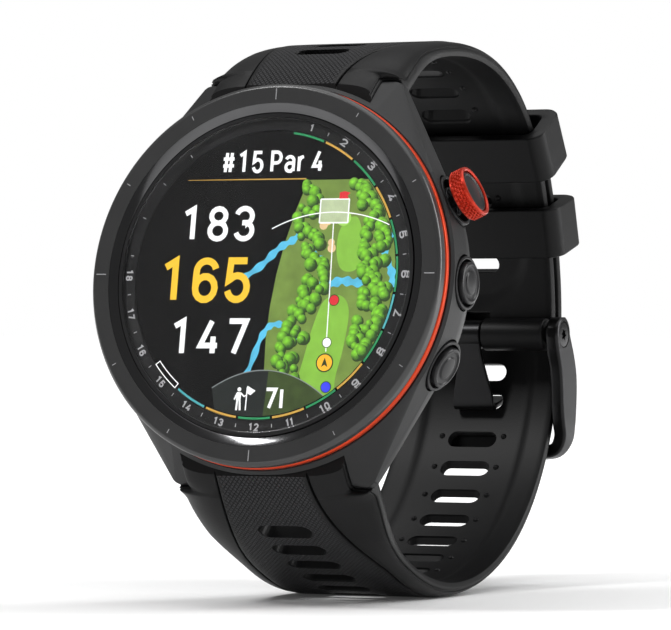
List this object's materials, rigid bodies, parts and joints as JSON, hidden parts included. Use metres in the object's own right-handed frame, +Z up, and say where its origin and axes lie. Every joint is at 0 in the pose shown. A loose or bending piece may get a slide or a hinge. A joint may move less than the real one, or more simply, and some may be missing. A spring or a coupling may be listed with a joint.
{
  "type": "golf gps watch",
  "caption": "Round watch on a closed rubber strap, with a lit screen behind glass, side buttons, a pin buckle and strap keepers.",
  "frame": {"origin": "bottom centre of the bounding box, where the strap's lowest line rests on the floor", "axes": "+Z up, -Y the side the dial looks towards, +X towards 3 o'clock; the watch leans back 9.7 degrees about X"},
  "size_m": [0.0496, 0.072, 0.0702],
  "materials": {
    "ceramic": "satin grey",
    "polymer": "matt dark grey, glass-filled",
    "accent": "satin red-orange",
    "red_metal": "anodised red",
    "rubber": "matt dark grey silicone",
    "dark_steel": "dark grey coated",
    "steel": "bright",
    "glass": "clear, polished",
    "ink": "black",
    "screen": "lit display",
    "board": "green solder mask",
    "tinplate": "tinned",
    "foil": "pouch foil",
    "gold": "gold plated"
  },
  "bodies": {
    "watch": {"accent_ring": "accent", "antenna_ring": "gold", "battery": "foil", "bezel_ring": "ceramic", "button_lower_collar": "polymer", "button_lower_spring": "steel", "button_middle_collar": "polymer", "button_middle_spring": "steel", "button_switch_lower": "ink", "button_switch_middle": "ink", "button_switch_upper": "ink", "button_upper_collar": "polymer", "button_upper_spring": "steel", "case_body": "polymer", "charging_port": "ink", "cover_glass": "glass", "dial_ring": "ink", "display_chassis": "tinplate", "display_panel": "screen", "glass_gasket": "rubber", "lug_pin_bottom": "steel", "lug_pin_top": "steel", "lug_spring_bottom": "steel", "lug_spring_top": "steel", "main_board": "board", "rear_cover": "polymer", "rear_cover_screw_1": "steel", "rear_cover_screw_2": "steel", "rear_cover_screw_3": "steel", "rear_cover_screw_4": "steel", "rear_gasket": "rubber", "sensor_board": "board", "sensor_window": "glass", "shield_can": "tinplate", "strap_long": "rubber", "strap_short": "rubber", "vibration_motor": "steel"},
    "button_upper": {"button_upper_cap": "polymer", "button_upper_clip": "steel", "button_upper_seal": "rubber", "button_upper_grip": "red_metal"},
    "button_middle": {"button_middle_cap": "polymer", "button_middle_clip": "steel", "button_middle_seal": "rubber"},
    "button_lower": {"button_lower_cap": "polymer", "button_lower_clip": "steel", "button_lower_seal": "rubber"},
    "latch_top": {"lug_latch_top": "steel"},
    "latch_bottom": {"lug_latch_bottom": "steel"},
    "keeper_upper": {"keeper_upper": "rubber"},
    "keeper_lower": {"keeper_lower": "rubber"},
    "buckle_frame": {"buckle_frame": "dark_steel", "buckle_bar": "dark_steel", "buckle_screw_left": "dark_steel", "buckle_screw_right": "dark_steel"},
    "buckle_tang": {"buckle_tang": "dark_steel"}
  },
  "joints": [
    {"name": "button_upper_press", "type": "slide", "parent": "watch", "child": "button_upper", "axis": [-0.9063, -0.0712, -0.4166], "range_m": [0, 0.0005], "stiffness_N_per_m": 1000, "deforming": ["button_upper_spring"]},
    {"name": "button_middle_press", "type": "slide", "parent": "watch", "child": "button_middle", "axis": [-1, 0, 0], "range_m": [0, 0.0005], "stiffness_N_per_m": 1000, "deforming": ["button_middle_spring"]},
    {"name": "button_lower_press", "type": "slide", "parent": "watch", "child": "button_lower", "axis": [-0.9063, 0.0712, 0.4166], "range_m": [0, 0.0005], "stiffness_N_per_m": 1000, "deforming": ["button_lower_spring"]},
    {"name": "latch_top_slide", "type": "slide", "parent": "watch", "child": "latch_top", "axis": [-1, 0, 0], "range_m": [0, 0.0016], "stiffness_N_per_m": 800, "deforming": ["lug_spring_top"]},
    {"name": "latch_bottom_slide", "type": "slide", "parent": "watch", "child": "latch_bottom", "axis": [-1, 0, 0], "range_m": [0, 0.0016], "stiffness_N_per_m": 800, "deforming": ["lug_spring_bottom"]},
    {"name": "keeper_upper_slide", "type": "hinge", "parent": "watch", "child": "keeper_upper", "pos_m": [-0.00085, -0.00364, 0.03935], "axis": [1, 0, 0], "range_deg": [-2, 2]},
    {"name": "keeper_lower_slide", "type": "hinge", "parent": "watch", "child": "keeper_lower", "pos_m": [-0.00085, -0.0161, 0.03348], "axis": [1, 0, 0], "range_deg": [-3, 2]},
    {"name": "buckle_open", "type": "hinge", "parent": "watch", "child": "buckle_frame", "pos_m": [-0.00085, 0.03005, 0.03296], "axis": [1, 0, 0], "range_deg": [0, 100]},
    {"name": "tang_swing", "type": "hinge", "parent": "watch", "child": "buckle_tang", "pos_m": [-0.00085, 0.03005, 0.03296], "axis": [-1, 0, 0], "range_deg": [0, 40]}
  ]
}
